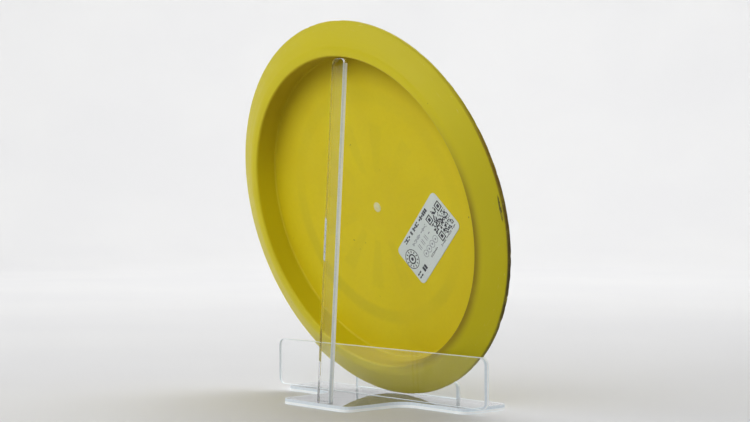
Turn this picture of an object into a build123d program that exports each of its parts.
from build123d import *
import math
import os

# Golf disc (a moulded distance driver) leaning in a clear acrylic display
# stand, underside outwards, with a small self-adhesive price label on the
# underside of its flight plate.
#
# Frame: millimetres, +Z up.  X runs along the stand, +Y is the side that the
# disc's underside faces and leans towards, and the base plate stands on Z = 0.
# The origin is under the centre of the assembly's box.

# ---------------------------------------------------------------- dimensions
# disc, in its own section: r from the spin axis, h from the rim's flat bottom
disc_r = 105.5             # outside radius (211 mm disc)
rim_inner_r = 86.8         # radius of the inner rim wall at the bottom
rim_flat_r = 90.6          # outer edge of the flat bottom of the rim
rim_depth = 13.2           # rim bottom to the underside of the plate, at the wall
plate_under_h = 14.9       # rim bottom to the underside of the plate, at the centre
plate_top_h = 16.8         # rim bottom to the top of the plate, at the centre
shoulder_r = 86.0          # where the plate rolls over into the rim
shoulder_h = 14.75
nose_h = 7.1               # height of the nose above the rim bottom
nose_tip_r = 1.5           # roundness of the nose
wall_draft = 0.7           # inner wall leans in by this much at the plate
inner_edge_r = 1.3         # rounding of the inner bottom edge of the rim
corner_r = 1.6             # fillet between the inner wall and the plate
nub_r = 2.8                # injection gate mark at the centre of the plate
nub_h = 0.35

# how the disc stands
lean = 14.8                # degrees that the disc leans back, towards +Y
disc_x = 0.0
disc_y = 6.5               # centre of the rim's bottom plane
disc_clear = 0.3           # gap between the disc and what it rests on

# label
label_l = 50.8
label_w = 25.4
label_corner = 3.0
label_t = 0.15
label_x = -36.9            # label centre, from the disc's axis, along X
label_up = -17.5           # and up the disc
label_turn = 138.5         # direction of the label's long side

# stand, all of one clear sheet
sheet_t = 3.0
stand_x = 2.1              # the disc was stood this far off the stand's middle
base_front_y = -36.5
base_step_y = -3.5
base_back_y = 36.5
base_wide = 150.0          # width of the front of the base, under the disc
base_foot = 56.0           # width of the tongue behind the disc
base_corner = 6.0
base_fillet = 10.0
ledge_l = 172.0            # low rear ledge, just behind the disc's rim
ledge_top_z = 29.7
ledge_front_y = -10.0
ledge_corner = 4.0
lip_l = 84.0               # front lip that the disc's top side leans against
lip_h = 9.0
lip_corner = 3.0
lip_back_y = -30.9
post_w = 10.0              # upright
post_corner = 3.4
post_len = 188.3           # top corners stop just under the rim's inner wall
post_lean = 3.4            # degrees that the upright leans forward
post_y0 = 26.7             # its front face, carried down to Z = 0

os.makedirs("parts", exist_ok=True)

# ------------------------------------------------------------------ the disc
lam = math.radians(lean)
sl, cl = math.sin(lam), math.cos(lam)

# the lowest point of the rounded nose sits disc_clear above the base plate
nose_c_r = disc_r - nose_tip_r
disc_z = sheet_t + disc_clear + nose_c_r * cl - nose_h * sl + nose_tip_r
disc_c = Vector(disc_x, disc_y, disc_z)

n_out = Vector(0, cl, -sl)        # outward normal of the underside
u_up = Vector(0, sl, cl)          # up, in the disc's plane
section = Plane(origin=disc_c, x_dir=(1, 0, 0), z_dir=(0, -sl, -cl))
spin = Axis(disc_c, -n_out)


def arc_sag(r, r_edge, h_centre, h_edge):
    """Height of a shallow dome at radius r."""
    return h_centre - (h_centre - h_edge) * (r / r_edge) ** 2


wall_top_r = rim_inner_r - wall_draft
with BuildPart() as disc:
    with BuildSketch(section):
        with BuildLine():
            # underside of the flight plate, with the gate mark at the centre
            l1 = Line((0, plate_under_h - nub_h), (nub_r - 0.5, plate_under_h - nub_h))
            l2 = Line(l1 @ 1, (nub_r, plate_under_h - 0.02))
            r_a = wall_top_r - corner_r
            l3 = ThreePointArc(
                l2 @ 1,
                (r_a / 2, arc_sag(r_a / 2, r_a, plate_under_h, rim_depth)),
                (r_a, rim_depth),
            )
            # fillet into the inner rim wall, the wall, and its rounded edge
            l4 = RadiusArc(l3 @ 1, (wall_top_r + 0.1, rim_depth - corner_r), corner_r)
            l5 = Line(l4 @ 1, (rim_inner_r, inner_edge_r))
            l6 = RadiusArc(l5 @ 1, (rim_inner_r + inner_edge_r, 0), -inner_edge_r)
            # flat bottom, then the wing up to the nose
            l7 = Line(l6 @ 1, (rim_flat_r, 0))
            l8 = Spline(
                l7 @ 1,
                (94.9, 1.35),
                (99.8, 3.45),
                (nose_c_r + nose_tip_r * math.sin(math.radians(22)),
                 nose_h - nose_tip_r * math.cos(math.radians(22))),
                tangents=[(1, 0.12), (math.cos(math.radians(22)), math.sin(math.radians(22)))],
            )
            nose_top = (nose_c_r + nose_tip_r * math.cos(math.radians(58)),
                        nose_h + nose_tip_r * math.sin(math.radians(58)))
            l9 = ThreePointArc(l8 @ 1, (disc_r, nose_h), nose_top)
            # top of the wing, rolling over the shoulder into the dome
            l10 = Spline(
                l9 @ 1,
                (100.6, 10.7),
                (94.0, 13.4),
                (shoulder_r, shoulder_h),
                tangents=[(-math.sin(math.radians(58)), math.cos(math.radians(58))), (-1, 0.10)],
            )
            l11 = Spline(
                l10 @ 1,
                (58.0, 15.95),
                (29.0, 16.6),
                (0, plate_top_h),
                tangents=[(-1, 0.10), (-1, 0)],
            )
            l12 = Line(l11 @ 1, l1 @ 0)
        make_face()
    revolve(axis=spin)
disc.part.label = "disc"
export_step(disc.part, "parts/disc.step")

# ----------------------------------------------------------------- the label
# A thin paper shell that follows the dome of the plate's underside.
label_plane = Plane(
    origin=disc_c + Vector(1, 0, 0) * label_x + u_up * label_up,
    x_dir=Vector(1, 0, 0) * math.cos(math.radians(label_turn)) + u_up * math.sin(math.radians(label_turn)),
    z_dir=-n_out,
)
r_a = wall_top_r - corner_r
with BuildPart() as price_label:
    with BuildSketch(section):
        with BuildLine():
            top = ThreePointArc(
                (nub_r, plate_under_h - 0.02),
                (r_a / 2, arc_sag(r_a / 2, r_a, plate_under_h, rim_depth)),
                (r_a, rim_depth),
            )
            low = ThreePointArc(
                (nub_r, plate_under_h - 0.02 - label_t),
                (r_a / 2, arc_sag(r_a / 2, r_a, plate_under_h, rim_depth) - label_t),
                (r_a, rim_depth - label_t),
            )
            Line(top @ 0, low @ 0)
            Line(top @ 1, low @ 1)
        make_face()
    revolve(axis=spin)
    with BuildSketch(label_plane):
        RectangleRounded(label_l, label_w, label_corner)
    extrude(amount=30, mode=Mode.INTERSECT)
price_label.part.label = "price_label"
export_step(price_label.part, "parts/price_label.step")

# ----------------------------------------------------------------- the stand
# Upright: a strip standing through a slot in the base plate, leaning forward
# to the disc, with rounded top corners inside the rim.
pl = math.radians(post_lean)
post_up = Vector(0, -math.sin(pl), math.cos(pl))
post_plane = Plane(origin=(stand_x, post_y0, 0), x_dir=(1, 0, 0), z_dir=Vector(0, -math.cos(pl), -math.sin(pl)))
with BuildPart() as spine_post:
    with BuildSketch(post_plane):
        with Locations((0, post_len / 2)):
            Rectangle(post_w, post_len)
        fillet(vertices().group_by(Axis.Z)[-1], post_corner)
    extrude(amount=-sheet_t)
    # foot cut level with the underside of the base plate
    split(bisect_by=Plane.XY, keep=Keep.TOP)
spine_post.part.label = "spine_post"
export_step(spine_post.part, "parts/spine_post.step")

# Base plate: wide under the disc, with a narrower tongue back to the upright.
with BuildPart() as base_plate:
    with BuildSketch(Plane.XY.offset(0).move(Location((stand_x, 0, 0)))):
        with BuildLine():
            Polyline(
                (-base_wide / 2, base_front_y),
                (base_wide / 2, base_front_y),
                (base_wide / 2, base_step_y),
                (base_foot / 2, base_step_y),
                (base_foot / 2, base_back_y),
                (-base_foot / 2, base_back_y),
                (-base_foot / 2, base_step_y),
                (-base_wide / 2, base_step_y),
                close=True,
            )
        make_face()
        fillet([v for v in vertices() if abs(v.Y - base_step_y) < 0.1 and abs(v.X) < base_foot], base_fillet)
        fillet([v for v in vertices() if abs(v.Y - base_front_y) < 0.1
                or abs(v.Y - base_back_y) < 0.1
                or (abs(v.Y - base_step_y) < 0.1 and abs(v.X) > base_wide / 2 - 1)], base_corner)
    extrude(amount=sheet_t)
    # slot for the foot of the upright
    add(spine_post.part, mode=Mode.SUBTRACT)
base_plate.part.label = "base_plate"
export_step(base_plate.part, "parts/base_plate.step")

# Rear ledge: a low wide panel bonded on the base plate, just behind the rim.
with BuildPart() as rear_ledge:
    with BuildSketch(Plane(origin=(stand_x, ledge_front_y, sheet_t), x_dir=(1, 0, 0), z_dir=(0, -1, 0))):
        with Locations((0, (ledge_top_z - sheet_t) / 2)):
            RectangleRounded(ledge_l, ledge_top_z - sheet_t, ledge_corner)
    extrude(amount=-sheet_t)
rear_ledge.part.label = "rear_ledge"
export_step(rear_ledge.part, "parts/rear_ledge.step")

# Front lip: a short low strip that stops the disc sliding forward.
with BuildPart() as front_lip:
    with BuildSketch(Plane(origin=(stand_x, lip_back_y, sheet_t), x_dir=(1, 0, 0), z_dir=(0, -1, 0))):
        with Locations((0, lip_h / 2)):
            Rectangle(lip_l, lip_h)
        fillet(vertices().group_by(Axis.Z)[-1], lip_corner)
    extrude(amount=sheet_t)
front_lip.part.label = "front_lip"
export_step(front_lip.part, "parts/front_lip.step")

print("disc centre", disc_c, "disc volume cm3", round(disc.part.volume / 1000, 1))
for p in (disc, price_label, spine_post, base_plate, rear_ledge, front_lip):
    b = p.part.bounding_box()
    print(p.part.label, [round(v, 2) for v in (b.min.X, b.min.Y, b.min.Z, b.max.X, b.max.Y, b.max.Z)])
